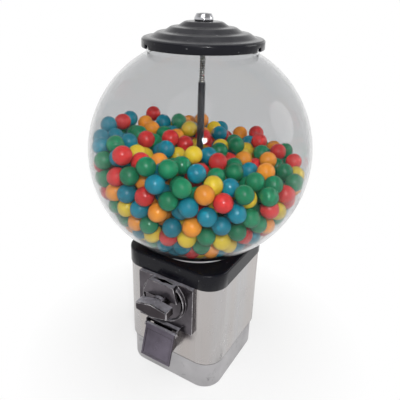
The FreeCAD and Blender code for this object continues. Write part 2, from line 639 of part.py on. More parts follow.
def handle():
    """Bar handle with a flattened-hexagon front on a tapered hub."""
    half = HANDLE_L / 2
    tip = HANDLE_TIP_T / 2
    mid = HANDLE_MID_T / 2
    outline = [(-half, tip), (0, mid), (half, tip), (half, -tip), (0, -mid), (-half, -tip)]
    bar = front_prism([(x, MECH_Z + z) for x, z in outline], HANDLE_BACK, HANDLE_FRONT)
    front = [edge for edge in bar.Edges if edge.BoundBox.YMax < HANDLE_FRONT + TOUCH]
    bar = bar.makeChamfer(HANDLE_EDGE, front)
    bar.rotate(V(0, 0, MECH_Z), V(0, 1, 0), -HANDLE_REST_TURN)
    hub = Part.makeCone(HANDLE_HUB_R, HANDLE_MID_T / 2, HANDLE_STANDOFF, V(0, COIN_WHEEL_FRONT, MECH_Z),
                        V(0, -1, 0))
    bore = rod_y(SHAFT_R, COIN_WHEEL_FRONT, HANDLE_BACK - HANDLE_DEPTH / 2)
    return bar.fuse(hub).cut(bore).removeSplitter()


def handle_shaft():
    return rod_y(SHAFT_R, HANDLE_BACK - HANDLE_DEPTH / 2, SHAFT_END_Y)


def post_places():
    return [(x, MECH_Z + z) for x in (-POST_X, POST_X) for z in (-POST_Z, POST_Z)]


def mech_posts():
    """Four spacer posts behind the plate, each with a thin stud through the backplate."""
    posts = []
    for x, z in post_places():
        spacer = rod_y(POST_R, BODY_FRONT, BACKPLATE_Y, x, z)
        stud = rod_y(POST_STUD_R, BACKPLATE_Y, BACKPLATE_Y + BACKPLATE_T + MECH_NUT_H, x, z)
        posts.append(spacer.fuse(stud))
    return Part.makeCompound(posts)


def mech_backplate():
    """Rear plate of the mechanism with the shaft bush seat."""
    outline = [(-BACKPLATE_HALF_W, -BACKPLATE_HALF_H), (BACKPLATE_HALF_W, -BACKPLATE_HALF_H)]
    outline += [(BACKPLATE_HALF_W, BACKPLATE_HALF_H), (-BACKPLATE_HALF_W, BACKPLATE_HALF_H)]
    rear = BACKPLATE_Y + BACKPLATE_T
    plate = front_prism([(x, MECH_Z + z) for x, z in outline], BACKPLATE_Y, rear)
    holes = [rod_y(BUSH_R, BACKPLATE_Y, rear)]
    holes += [rod_y(POST_STUD_R, BACKPLATE_Y, rear, x, z) for x, z in post_places()]
    return plate.cut(holes)


def mech_nuts():
    """Four nuts on the post studs behind the backplate."""
    nuts = []
    for x, z in post_places():
        nut = hexagon(MECH_NUT_AF, 0, MECH_NUT_H, POST_STUD_R)
        nut.rotate(V(0, 0, 0), V(1, 0, 0), -90)
        nut.translate(V(x, BACKPLATE_Y + BACKPLATE_T, z))
        nuts.append(nut)
    return Part.makeCompound(nuts)


def shaft_bush():
    rear = BACKPLATE_Y + BACKPLATE_T
    return rod_y(BUSH_R, BACKPLATE_Y, rear).cut(rod_y(SHAFT_R + RUN_FIT, BACKPLATE_Y, rear))


def shaft_clip():
    """Retaining ring on the shaft behind the backplate."""
    front = BACKPLATE_Y + BACKPLATE_T + SEAT_GAP
    return rod_y(CLIP_R, front, front + CLIP_T).cut(rod_y(SHAFT_R, front, front + CLIP_T))


def ratchet_wheel():
    """Saw-toothed wheel that lets the handle turn one way only."""
    root = RATCHET_R - RATCHET_DEPTH
    front = BODY_FRONT + RATCHET_SETBACK
    outline = []
    for tooth in range(RATCHET_TEETH):
        start = 360 / RATCHET_TEETH * tooth
        for radius, azimuth in ((RATCHET_R, start), (root, start + RATCHET_LEAN)):
            place = polar(radius, azimuth)
            outline.append((place.x, MECH_Z + place.y))
    wheel = front_prism(outline, front, front + RATCHET_T)
    return wheel.cut(rod_y(SHAFT_R, front, front + RATCHET_T))


def ratchet_pawl():
    """Lever that rides on the ratchet's teeth, turning on its pin."""
    front = BODY_FRONT + RATCHET_SETBACK
    pivot = V(PAWL_X, 0, MECH_Z + PAWL_Z)
    tip = polar(RATCHET_R + PAWL_ARM_T / 2 + PAWL_TIP_GAP, PAWL_TIP_AZIMUTH)
    tip = V(tip.x, 0, MECH_Z + tip.y)
    along = (tip - pivot).normalize()
    side = V(-along.z, 0, along.x) * (PAWL_ARM_T / 2)
    corners = [pivot + side, pivot - side, tip - side, tip + side]
    arm = front_prism([(corner.x, corner.z) for corner in corners], front, front + RATCHET_T)
    hub = rod_y(PAWL_HUB_R, front, front + RATCHET_T, pivot.x, pivot.z)
    return arm.fuse(hub).cut(rod_y(PAWL_PIN_R + RUN_FIT, front, front + RATCHET_T, pivot.x, pivot.z))


def pawl_pin():
    return rod_y(PAWL_PIN_R, BODY_FRONT, BACKPLATE_Y, PAWL_X, MECH_Z + PAWL_Z)


def drive_pinion():
    """Small spur gear on the shaft's rear end, in mesh with the crown gear above it."""
    pitch_half = 90 / PINION_TEETH - math.degrees(BACKLASH / 4 / PINION_R)
    tip_r = PINION_R + ADDENDUM
    root_r = PINION_R - DEDENDUM
    slope = math.tan(math.radians(FLANK_ANGLE))
    tip_half = pitch_half - math.degrees(ADDENDUM * slope / tip_r)
    root_half = pitch_half + math.degrees(DEDENDUM * slope / PINION_R) / 2
    outline = []
    for tooth in range(PINION_TEETH):
        middle = 90 + 360 / PINION_TEETH * (tooth + 0.5)
        flank = [(root_r, -root_half), (PINION_R, -pitch_half), (tip_r, -tip_half)]
        for radius, offset in flank + [(radius, -offset) for radius, offset in reversed(flank)]:
            place = polar(radius, middle + offset)
            outline.append((place.x, MECH_Z + place.y))
    gear = front_prism(outline, PINION_Y, PINION_Y + PINION_FACE)
    hub = rod_y(PINION_HUB_R, PINION_Y - PINION_HUB_L, PINION_Y)
    return gear.fuse(hub).cut(rod_y(SHAFT_R, PINION_Y - PINION_HUB_L, PINION_Y + PINION_FACE))


def flap_frame(points):
    """Turns (down along the flap, outwards) pairs into (y, z) points from the hinge pin."""
    tilt = math.radians(FLAP_TILT)
    places = []
    for down, out in points:
        y = PIN_Y - down * math.sin(tilt) - out * math.cos(tilt)
        z = PIN_Z - down * math.cos(tilt) + out * math.sin(tilt)
        places.append((y, z))
    return places


def chute_flap():
    """Hanging door with a raised border, hinged along its top edge."""
    half = FLAP_W / 2
    out = FLAP_KNUCKLE_R - FLAP_T
    outline = [(0, out), (0, FLAP_KNUCKLE_R), (FLAP_L, FLAP_KNUCKLE_R), (FLAP_L, out)]
    plate = side_prism(flap_frame(outline), half)
    face = FLAP_KNUCKLE_R - FLAP_PANEL_SINK
    top = FLAP_KNUCKLE_R + FLAP_BORDER
    bottom = FLAP_L - FLAP_BORDER
    sunk = [(top, face), (top, FLAP_KNUCKLE_R), (bottom, FLAP_KNUCKLE_R), (bottom, face)]
    panel = side_prism(flap_frame(sunk), half - FLAP_BORDER)
    barrel = Part.makeCylinder(FLAP_KNUCKLE_R, FLAP_W, V(-half, PIN_Y, PIN_Z), V(1, 0, 0))
    bore = Part.makeCylinder(FLAP_PIN_R + RUN_FIT, FLAP_W, V(-half, PIN_Y, PIN_Z), V(1, 0, 0))
    return plate.cut(panel).fuse(barrel).cut(bore).removeSplitter()


def flap_pin():
    half = FLAP_W / 2 + SEAT_GAP + EAR_T
    return Part.makeCylinder(FLAP_PIN_R, 2 * half, V(-half, PIN_Y, PIN_Z), V(1, 0, 0))


def chute_spout():
    """Cast nose under the plate: side cheeks, floor, roof and the ears of the flap hinge."""
    behind = FLAP_KNUCKLE_R - FLAP_T - SEAT_GAP
    clear = FLAP_KNUCKLE_R + SLIDE_GAP
    front = flap_frame([(clear, behind), (FLAP_L - FLAP_BORDER, behind)])
    roof_z = PLATE_BOTTOM_Z + SPOUT_ROOF_T
    roof_front = PIN_Y + clear
    seat = PLATE_FRONT
    step_z = PLATE_BOTTOM_Z - SEAT_GAP
    top = [(BODY_FRONT, step_z), (seat, step_z), (seat, roof_z), (roof_front, roof_z)]
    outline = top + [(roof_front, front[0][1])] + front + [(BODY_FRONT, SPOUT_BOTTOM_Z)]
    nose = side_prism(outline, SPOUT_HALF)
    inner = SPOUT_HALF - SPOUT_WALL
    front_y, front_z = front[1]
    channel = [(BODY_FRONT, SPOUT_BOTTOM_Z + SPOUT_WALL), (front_y, front_z + SPOUT_WALL)]
    channel += [(front_y, step_z - SPOUT_WALL), (BODY_FRONT, step_z - SPOUT_WALL)]
    ear_out = FLAP_W / 2 + SEAT_GAP + EAR_T
    roof = box(-ear_out, ear_out, roof_front, seat, PLATE_BOTTOM_Z + SEAT_GAP, roof_z)
    pieces = [nose.cut(side_prism(channel, inner)), roof]
    for side in (-1, 1):
        start = min(side * ear_out, side * (ear_out - EAR_T))
        ear = Part.makeCylinder(clear, EAR_T, V(start, PIN_Y, PIN_Z), V(1, 0, 0))
        link = box(start, start + EAR_T, PIN_Y, seat, PIN_Z - clear, roof_z)
        pieces += [ear, link]
    throat_half = SPOUT_HALF - SPOUT_WALL / 2
    throat_low = SPOUT_BOTTOM_Z + SPOUT_WALL / 2
    throat_high = PLATE_BOTTOM_Z - SPOUT_WALL / 2 - SEAT_GAP
    throat = box(-throat_half, throat_half, BODY_FRONT, BODY_FRONT + BODY_WALL, throat_low, throat_high)
    mouth = box(-inner, inner, BODY_FRONT, BODY_FRONT + BODY_WALL, throat_low + SPOUT_WALL / 2,
                throat_high - SPOUT_WALL / 2)
    pieces.append(throat.cut(mouth))
    bore = Part.makeCylinder(FLAP_PIN_R, 2 * ear_out, V(-ear_out, PIN_Y, PIN_Z), V(1, 0, 0))
    return union(pieces).cut(bore)


def drop_chute():
    """Drop tube under the hopper's outlet with a sloping trough that leads to the spout."""
    start = polar(POCKET_PITCH_R, OUTLET_AZIMUTH, CHUTE_TOP_Z)
    end_y = BODY_FRONT + BODY_WALL + SEAT_GAP
    down = V(0, end_y, CHUTE_END_Z) - start
    across = V(-down.y, down.x, 0).normalize()
    past = down * (CHUTE_HALF / abs(down.y))

    def slope(half, low, high, back=0.0):
        """Sheared prism along the slope, from behind the tube's middle to past the front."""
        foot = start - past * back
        corners = []
        for side, z in ((-half, low), (half, low), (half, high), (-half, high)):
            corners.append(foot + across * side + V(0, 0, z))
        return polygon_face(corners).extrude(down + past * (1 + back))

    inner = CHUTE_HALF - CHUTE_WALL
    low = CHUTE_TOP_Z - 2 * CHUTE_HALF
    tube_out = cylinder(CHUTE_TUBE_R, low, CUP_BOTTOM_Z, start.x, start.y)
    tube_in = cylinder(CHUTE_TUBE_R - CHUTE_WALL, low, CUP_BOTTOM_Z, start.x, start.y)
    under = slope(2 * CHUTE_HALF, -4 * CHUTE_HALF, 0, 2)
    under_floor = slope(2 * CHUTE_HALF, -4 * CHUTE_HALF, CHUTE_WALL, 2)
    outer = slope(CHUTE_HALF, 0, CHUTE_SIDE_H).fuse(tube_out.cut(under))
    hollow = slope(inner, CHUTE_WALL, CHUTE_SIDE_H + CHUTE_WALL).fuse(tube_in.cut(under_floor))
    front = box(-BODY_HALF, BODY_HALF, 2 * BODY_FRONT, end_y, 0, BODY_TOP_Z)
    return outer.cut(hollow).cut(front).removeSplitter()


def ball_places():
    """Lets balls settle one by one on the globe, the rod sleeve and each other."""
    radius = BALL_D / 2
    reach = GLOBE_R - GLOBE_WALL - radius - BALL_GAP
    cup_reach = HOPPER_R - radius - BALL_GAP
    pitch = BALL_D + BALL_GAP
    step = BALL_D / BALL_STEPS
    tilt = polar(FILL_TILT, FILL_TILT_AZIMUTH)
    floor = {}
    for column in range(-int(reach / step), int(reach / step) + 1):
        for row in range(-int(reach / step), int(reach / step) + 1):
            out = math.hypot(column * step, row * step)
            if SLEEVE_R + radius + BALL_GAP < out < cup_reach:
                floor[column, row] = GUARD_TOP_Z + radius + BALL_GAP
            elif cup_reach <= out < reach:
                floor[column, row] = GLOBE_Z - math.sqrt(reach**2 - out**2)
    places = []
    span = int(pitch / step) + 1

    def height(spot):
        return floor[spot] - tilt.x * spot[0] * step - tilt.y * spot[1] * step

    while True:
        lowest = min(floor, key=height)
        if height(lowest) > FILL_LEVEL:
            return places
        level = floor[lowest]
        if math.hypot(step * math.hypot(*lowest), max(0.0, level - GLOBE_Z)) > reach:
            del floor[lowest]
            continue
        places.append(V(lowest[0] * step, lowest[1] * step, level))
        for column in range(lowest[0] - span, lowest[0] + span + 1):
            for row in range(lowest[1] - span, lowest[1] + span + 1):
                apart = step * math.hypot(column - lowest[0], row - lowest[1])
                if apart < pitch and (column, row) in floor:
                    raised = level + math.sqrt(pitch**2 - apart**2)
                    floor[column, row] = max(floor[column, row], raised)


def gumballs():
    """Balls grouped by colour."""
    shares = {"blue": 20, "green": 27, "orange": 18, "red": 19, "yellow": 16}
    draw = random.Random(5)
    groups = {colour: [] for colour in shares}
    for place in ball_places():
        colour = draw.choices(list(shares), list(shares.values()))[0]
        groups[colour].append(Part.makeSphere(BALL_D / 2, place))
    return {"gumballs_" + colour: Part.makeCompound(balls) for colour, balls in groups.items()}


NODES = [
    base_tray, body_shell, collar, hopper_cup, globe_gasket, globe, product_wheel, wheel_bush,
    ball_guard, guard_brush, center_rod, rod_sleeve, rod_washer, rod_nut, drop_chute, chute_spout,
    chute_flap, flap_pin, mech_plate, mech_posts, mech_backplate, mech_nuts, shaft_bush, coin_wheel,
    handle, handle_shaft, shaft_clip, ratchet_wheel, ratchet_pawl, pawl_pin, drive_pinion, lid,
    lid_gasket, lock_barrel, lock_plug, lock_nut,
]


def build():
    shapes = {make.__name__: make() for make in NODES}
    shapes.update(gumballs())
    return shapes


os.makedirs("parts", exist_ok=True)
for name, shape in build().items():
    shape.exportStep("parts/" + name + ".step")
    print(name, len(shape.Solids), round(shape.Volume, 1), shape.isValid())
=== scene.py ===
import bpy
import json
import math
import random
from mathutils import Matrix, Vector


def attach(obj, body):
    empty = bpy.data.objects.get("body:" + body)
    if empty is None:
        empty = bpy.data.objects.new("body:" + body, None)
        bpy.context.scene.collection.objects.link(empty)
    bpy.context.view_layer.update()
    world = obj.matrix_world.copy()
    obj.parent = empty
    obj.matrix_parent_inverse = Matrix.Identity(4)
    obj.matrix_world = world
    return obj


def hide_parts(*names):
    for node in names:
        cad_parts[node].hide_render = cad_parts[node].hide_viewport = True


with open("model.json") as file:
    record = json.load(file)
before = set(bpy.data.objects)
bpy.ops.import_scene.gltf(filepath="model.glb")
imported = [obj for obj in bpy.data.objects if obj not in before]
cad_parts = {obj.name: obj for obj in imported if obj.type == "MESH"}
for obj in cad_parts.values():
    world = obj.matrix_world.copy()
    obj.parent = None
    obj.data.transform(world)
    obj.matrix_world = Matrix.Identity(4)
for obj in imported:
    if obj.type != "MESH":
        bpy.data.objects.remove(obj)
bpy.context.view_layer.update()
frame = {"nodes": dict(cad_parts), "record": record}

NODES = frame["nodes"]
SLOT_OF = {part["node"]: part["material_slot"] for part in frame["record"]["subparts"]}

# Camera of the photograph, with its place in metres
CAMERA_PLACE = (0.2756, -0.4708, 0.5121)
CAMERA_AHEAD = (-0.47762, 0.78360, -0.39730)
CAMERA_UP = (-0.22710, 0.32673, 0.91743)
CAMERA_LENS_MM = 40.57
CAMERA_SENSOR_MM = 36.0
CAMERA_SHIFT = (0.0211, -0.0517)
CAMERA_NEAR = 0.01

# Lamps: name, place, target, diameter in metres, power in watts
LAMPS = (
    ("softbox", (0.2, -0.8, 1.5), (0, 0, 0.2), 1.0, 5.5),
    ("bulb", (0.36, -0.52, 0.66), (0, 0, 0.3), 0.06, 2.6),
    ("side", (1.3, 1.0, 0.9), (0, 0, 0.2), 0.9, 6.0),
)

# World: its light, and the ceiling's grey with the slope over which it sets in
WORLD_LIGHT = 0.46
CEILING_GREY = 0.4
CEILING_FROM_TO = (0.3, 0.7)
WHITE = (1.0, 1.0, 1.0, 1.0)

# Floor: half its width, its tones, and the distances over which it runs out to white
FLOOR_HALF = 6.0
FLOOR_DARK = (0.86, 0.86, 0.86)
FLOOR_PALE = (0.90, 0.90, 0.90)
FLOOR_WHITE_NEAR = 0.66
FLOOR_WHITE_FROM_TO = (0.12, 0.26)

# Painted shadow line along the lower edge of the body, where it overhangs the base: height in
# metres, fade and depth
SHADOW_LINE_H = 0.0008
SHADOW_LINE_FADE = 1.5
SHADOW_LINE_DEPTH = 0.9
SHADOW_LINE_COLOUR = (0.03, 0.028, 0.028)

# Dust and painted top light: the upward slopes on which dust settles and faces are lightened, its
# thinnest share, its colours
DUST_AND_LIGHT_SLOPE = (0.5, 0.95)
DUST_AND_LIGHT_THIN = 0.55
DUST_AND_TOP_LIGHT_ON_BLACK = (0.2, 0.2, 0.21)
DUST_AND_TOP_LIGHT_ON_CHROME = (0.42, 0.41, 0.46)
CHROME_DUST_AND_TOP_LIGHT = 0.85

# Globe: grey tint, as painted shade for the dim room seen through it, bend of light, and what the
# lamps' light keeps on its way in
GLOBE_SHADE_TINT = (0.69, 0.695, 0.70, 1.0)
GLOBE_IOR = 1.16
GLOBE_PASSES = (0.93, 0.93, 0.94, 1.0)
SCRATCH_LEVELS = (0.70, 0.74)

# Finishes that come in several tones
# Black finishes by their most share of dust and painted top light
BLACK_DUST_AND_TOP_LIGHT = {"black_moulding": 0.28, "black_collar": 0.02}
# Dark chrome: the plain plating, a darker copy as painted shade and a lighter copy as painted light
CHROME_TONES = {
    "dark_chrome": (0.092, 0.083, 0.092),
    "dark_chrome_shaded": (0.044, 0.037, 0.041),
    "dark_chrome_lit": (0.125, 0.110, 0.138),
}
GUM_COLOURS = {
    "gum_blue": (0.003, 0.195, 0.275),
    "gum_green": (0.005, 0.195, 0.08),
    "gum_orange": (0.79, 0.275, 0.02),
    "gum_red": (0.60, 0.028, 0.026),
    "gum_yellow": (0.72, 0.52, 0.025),
}

# Plain finishes: colour, share of metal, roughness, scale of the grain
PLAIN_FINISHES = {
    "rod_sleeve_dark": ((0.035, 0.035, 0.04), 0.3, 0.35, 500.0),
    "inner_steel": ((0.5, 0.5, 0.52), 1.0, 0.35, 600.0),
    "inner_nylon": ((0.72, 0.70, 0.64), 0.0, 0.5, 300.0),
    # The gasket's pale colour is partly its own and partly a painted highlight line at the globe's
    # foot
    "pale_gasket": ((0.82, 0.81, 0.79), 0.0, 0.6, 350.0),
    "rubber_seal": ((0.02, 0.02, 0.02), 0.0, 0.7, 350.0),
    "bristle": ((0.06, 0.06, 0.065), 0.0, 0.8, 800.0),
    "brass_core": ((0.62, 0.45, 0.22), 1.0, 0.3, 500.0),
}

# Solids whose finish is a variant of their slot's
OWN_FINISH = {
    "collar": "black_collar",
    "center_rod": "threaded_steel",
    # The handle and the flap take the painted shade and painted light copies of the dark chrome
    "handle": "dark_chrome_shaded",
    "chute_flap": "dark_chrome_lit",
}

# Rounded edges: solid, width in metres, finish of the edge where it has its own
SOFT_EDGES = (
    ("lid", 0.0008, None),
    ("collar", 0.0006, None),
    ("lock_barrel", 0.0006, None),
    ("base_tray", 0.0006, None),
    ("body_shell", 0.0003, None),
    # The mechanism's edges take rubbed plating whose bright stretches are also painted edge
    # highlights
    ("mech_plate", 0.0006, "worn_edge_and_highlight"),
    ("handle", 0.0006, "worn_edge_and_highlight"),
    ("chute_spout", 0.0005, "worn_edge_and_highlight"),
    # The flap's edges take the darker, painted shade copy of the dark chrome
    ("chute_flap", 0.0004, "dark_chrome_shaded"),
)
SOFT_EDGE_STEPS = 2
SOFT_EDGE_DEGREES = 35
WELD_GAP = 1e-6
FLAT_DEGREES = 0.3
KEEPS_FACETS = ("mech_plate", "chute_spout")

# Gumballs: mesh, and the soft flats of their sugar shell as shares of the radius
BALL_NODES = "gumballs_"
BALL_PIECES = "candy_"
BALL_SEED = 11
BALL_RINGS = 12
BALL_SEGMENTS = 18
BALL_DIMPLES = 5
BALL_FLAT = 0.035
BALL_FLAT_LEAST = 0.2
BALL_FLAT_EDGE = 0.55
BALL_PLACE_DIGITS = 4


def link_new(name, data):
    """Adds a new object with this data to the scene."""
    piece = bpy.data.objects.new(name, data)
    bpy.context.scene.collection.objects.link(piece)
    return piece


def shade(colour, factor):
    """A colour made lighter or darker."""
    return tuple(min(1.0, part * factor) for part in colour)


class Nodes:
    """Small helper that builds one material's node tree."""

    MIX_FACTOR, MIX_FIRST, MIX_SECOND, MIX_RESULT = 0, 6, 7, 2

    def __init__(self, name):
        self.material = bpy.data.materials.new(name)
        self.material.use_nodes = True
        self.tree = self.material.node_tree
        self.shader = self.tree.nodes["Principled BSDF"]
        self.output = self.tree.nodes["Material Output"]
        self.place = self.add("ShaderNodeTexCoord").outputs["Object"]

    def add(self, kind, **values):
        node = self.tree.nodes.new(kind)
        for key, value in values.items():
            setattr(node, key, value)
        return node

    def join(self, source, target):
        self.tree.links.new(source, target)

    def feed(self, value, socket):
        """Gives a socket a link, a plain colour or a number."""
        if isinstance(value, bpy.types.NodeSocket):
            self.join(value, socket)
        elif isinstance(value, tuple):
            socket.default_value = (*value, 1.0)
        else:
            socket.default_value = value

    def set(self, **values):
        """Sets the shader's own sockets."""
        for key, value in values.items():
            self.shader.inputs[key.replace("_", " ")].default_value = value

    def stretched(self, x, y, z):
        """The place on the object, scaled by axis."""
        mapping = self.add("ShaderNodeMapping")
        mapping.inputs["Scale"].default_value = (x, y, z)
        self.join(self.place, mapping.inputs["Vector"])
        return mapping.outputs["Vector"]

    def height(self, vector):
        """The upright part of a vector."""
        split = self.add("ShaderNodeSeparateXYZ")
        self.join(vector, split.inputs[0])
        return split.outputs["Z"]

    def noise(self, scale, detail=4.0, rough=0.55, vector=None):
        node = self.add("ShaderNodeTexNoise")
        node.inputs["Scale"].default_value = scale
        node.inputs["Detail"].default_value = detail
        node.inputs["Roughness"].default_value = rough
        self.join(vector or self.place, node.inputs["Vector"])
        return node.outputs["Fac"]

    def ramp(self, source, *stops):
        """Colour ramp from (position, colour) pairs."""
        node = self.add("ShaderNodeValToRGB")
        points = node.color_ramp.elements
        for point, (position, colour) in zip(points, stops):
            point.position = position
            point.color = (*colour, 1.0)
        self.join(source, node.inputs["Fac"])
        return node.outputs["Color"]

    def span(self, source, to, over=(0.3, 0.7)):
        """Maps the range over of a value to another range."""
        node = self.add("ShaderNodeMapRange")
        node.inputs["From Min"].default_value = over[0]
        node.inputs["From Max"].default_value = over[1]
        node.inputs["To Min"].default_value = to[0]
        node.inputs["To Max"].default_value = to[1]
        self.join(source, node.inputs["Value"])
        return node.outputs["Result"]

    def mix(self, factor, first, second):
        """Mixes two colours."""
        node = self.add("ShaderNodeMix", data_type="RGBA")
        self.feed(factor, node.inputs[self.MIX_FACTOR])
        self.feed(first, node.inputs[self.MIX_FIRST])
        self.feed(second, node.inputs[self.MIX_SECOND])
        return node.outputs[self.MIX_RESULT]

    def math(self, operation, first, second):
        node = self.add("ShaderNodeMath", operation=operation)
        self.feed(first, node.inputs[0])
        self.feed(second, node.inputs[1])
        return node.outputs[0]

    def mix_shader(self, factor, first, second):
        """Mixes two shaders and sends them to the surface."""
        node = self.add("ShaderNodeMixShader")
        for source, socket in zip((factor, first, second), node.inputs):
            self.join(source, socket)
        self.join(node.outputs["Shader"], self.output.inputs["Surface"])

    def colour(self, socket):
        self.join(socket, self.shader.inputs["Base Color"])

    def roughness(self, socket):
        self.join(socket, self.shader.inputs["Roughness"])

    def bump(self, height, strength, distance):
        node = self.add("ShaderNodeBump")
        node.inputs["Strength"].default_value = strength
        node.inputs["Distance"].default_value = distance
        self.join(height, node.inputs["Height"])
        self.join(node.outputs["Normal"], self.shader.inputs["Normal"])

    def dust_and_top_light(self, most):
        """Uneven dust and painted top light on the faces that look up, as a share up to most."""
        normal = self.add("ShaderNodeTexCoord").outputs["Normal"]
        up = self.span(self.height(normal), (0.0, most), over=DUST_AND_LIGHT_SLOPE)
        patches = self.span(self.noise(scale=60.0, detail=5.0, rough=0.65), (DUST_AND_LIGHT_THIN, 1.0))
        return self.math("MULTIPLY", up, patches)


def cast_aluminium():
    """Tumbled casting: fine grain, soft cloudy patches, a few dark scuffs."""
    m = Nodes("cast_aluminium")
    base = (0.43, 0.42, 0.43)
    clouds = m.ramp(m.noise(scale=14.0), (0.3, shade(base, 0.8)), (0.7, shade(base, 1.15)))
    scuffs = m.span(m.noise(scale=70.0, detail=6.0, rough=0.7), (0.0, 0.9), over=(0.60, 0.72))
    m.colour(m.mix(scuffs, clouds, shade(base, 0.5)))
    m.roughness(m.span(m.noise(scale=40.0), (0.34, 0.52)))
    m.set(Metallic=0.8)
    m.bump(m.noise(scale=900.0, detail=2.0), strength=0.25, distance=0.0004)
    return m.material


def body_steel():
    """Satin plated sheet: soft upright bands of painted reflection, a faint grain, a painted shadow
    line along the lower edge.
    """
    m = Nodes("body_steel")
    warm_reflection_tone = (0.47, 0.43, 0.41)
    cool_reflection_tone = (0.50, 0.495, 0.50)
    upright = m.stretched(1.0, 1.0, 0.04)
    fine_upright = m.stretched(14.0, 14.0, 0.25)
    # Painted reflections: soft upright bands that run from a warm tone to a cool tone
    reflection_bands = m.noise(scale=24.0, detail=2.0, rough=0.5, vector=upright)
    grain = m.noise(scale=60.0, detail=3.0, rough=0.6, vector=fine_upright)
    tone = m.mix(m.span(reflection_bands, (0.0, 1.0)), warm_reflection_tone, cool_reflection_tone)
    tone = m.mix(m.span(grain, (0.0, 0.07)), tone, shade(warm_reflection_tone, 0.7))
    # Painted shadow: the lowest band of the body is darkened as if shaded by its overhang over the
    # base
    low = min(vertex.co.z for vertex in NODES["body_shell"].data.vertices)
    shadow_line_over = (low + SHADOW_LINE_H, low + SHADOW_LINE_FADE * SHADOW_LINE_H)
    shadow_line = m.span(m.height(m.place), (SHADOW_LINE_DEPTH, 0.0), over=shadow_line_over)
    m.colour(m.mix(shadow_line, tone, SHADOW_LINE_COLOUR))
    marks = m.span(m.noise(scale=22.0, detail=6.0, rough=0.65), (0.0, 0.12), over=(0.5, 0.75))
    m.roughness(m.math("ADD", m.span(reflection_bands, (0.2, 0.28)), marks))
    m.set(Metallic=1.0, Anisotropic=0.35)
    m.bump(grain, strength=0.02, distance=0.0002)
    return m.material


def black_moulding(name, dust_and_top_light_share):
    """Glossy black moulding: a faint orange peel, dust and painted top light on its upper faces,
    pale nicks that are also painted glints.
    """
    m = Nodes(name)
    clean = (0.005, 0.005, 0.008)
    dull = (0.013, 0.013, 0.017)
    pale_nick_and_glint = (0.3, 0.3, 0.31)
    # Pale nicks, which also serve as small painted glints on the black
    nicks_and_glints = m.span(m.noise(scale=240.0, detail=2.0, rough=0.5), (0.0, 1.0), over=(0.73, 0.79))
    film = m.span(m.noise(scale=12.0, detail=5.0, rough=0.7), (0.0, 0.5), over=(0.5, 0.8))
    # Dust and painted top light lighten the upper faces of the black
    worn = m.mix(m.dust_and_top_light(dust_and_top_light_share), m.mix(film, clean, dull), DUST_AND_TOP_LIGHT_ON_BLACK)
    m.colour(m.mix(nicks_and_glints, worn, pale_nick_and_glint))
    m.roughness(m.span(m.noise(scale=16.0), (0.12, 0.26)))
    m.set(IOR=1.45, Specular_IOR_Level=0.2)
    m.bump(m.noise(scale=170.0, detail=2.0), strength=0.06, distance=0.0006)
    return m.material


def dark_chrome(name, tone):
    """Plated zinc casting, smoky and a little cloudy, with dust and painted top light on the faces
    that look up.
    """
    m = Nodes(name)
    smoke = m.ramp(m.noise(scale=26.0), (0.3, shade(tone, 0.65)), (0.7, shade(tone, 1.35)))
    dust_and_top_light = m.dust_and_top_light(CHROME_DUST_AND_TOP_LIGHT)
    m.colour(m.mix(dust_and_top_light, smoke, DUST_AND_TOP_LIGHT_ON_CHROME))
    m.join(m.math("SUBTRACT", 1.0, dust_and_top_light), m.shader.inputs["Metallic"])
    m.roughness(m.span(m.noise(scale=34.0, detail=5.0, rough=0.65), (0.14, 0.3)))
    m.bump(m.noise(scale=420.0, detail=3.0), strength=0.08, distance=0.0004)
    return m.material


def worn_edge_and_highlight():
    """Plating rubbed through along the edges, in bright and dull stretches; the bright stretches
    are also painted edge highlights.
    """
    m = Nodes("worn_edge_and_highlight")
    dull = (0.13, 0.12, 0.13)
    bright = (0.52, 0.50, 0.52)
    m.colour(m.ramp(m.noise(scale=80.0, rough=0.7), (0.42, dull), (0.62, bright)))
    m.roughness(m.span(m.noise(scale=90.0), (0.18, 0.36)))
    m.set(Metallic=1.0)
    m.bump(m.noise(scale=420.0, detail=3.0), strength=0.08, distance=0.0004)
    return m.material


def bright_chrome():
    """Bright plating, a little clouded by handling."""
    m = Nodes("bright_chrome")
    dull = (0.36, 0.36, 0.38)
    bright = (0.56, 0.56, 0.58)
    m.colour(m.ramp(m.noise(scale=60.0), (0.35, dull), (0.7, bright)))
    m.roughness(m.span(m.noise(scale=140.0), (0.06, 0.2)))
    m.set(Metallic=1.0)
    m.bump(m.noise(scale=500.0, detail=2.0), strength=0.05, distance=0.0002)
    return m.material


def threaded_steel():
    """Plated rod with a fine thread, lighter on the crests and darker between them."""
    m = Nodes("threaded_steel")
    groove_colour = (0.10, 0.10, 0.10)
    crest_colour = (0.55, 0.54, 0.52)
    wave = m.add("ShaderNodeTexWave", bands_direction="Z")
    wave.inputs["Scale"].default_value = 160.0
    wave.inputs["Distortion"].default_value = 1.5
    wave.inputs["Detail"].default_value = 2.0
    m.join(m.place, wave.inputs["Vector"])
    thread = wave.outputs["Fac"]
    m.colour(m.mix(thread, groove_colour, crest_colour))
    m.roughness(m.span(m.noise(scale=150.0), (0.2, 0.4)))
    m.set(Metallic=1.0)
    m.bump(thread, strength=0.6, distance=0.0005)
    return m.material


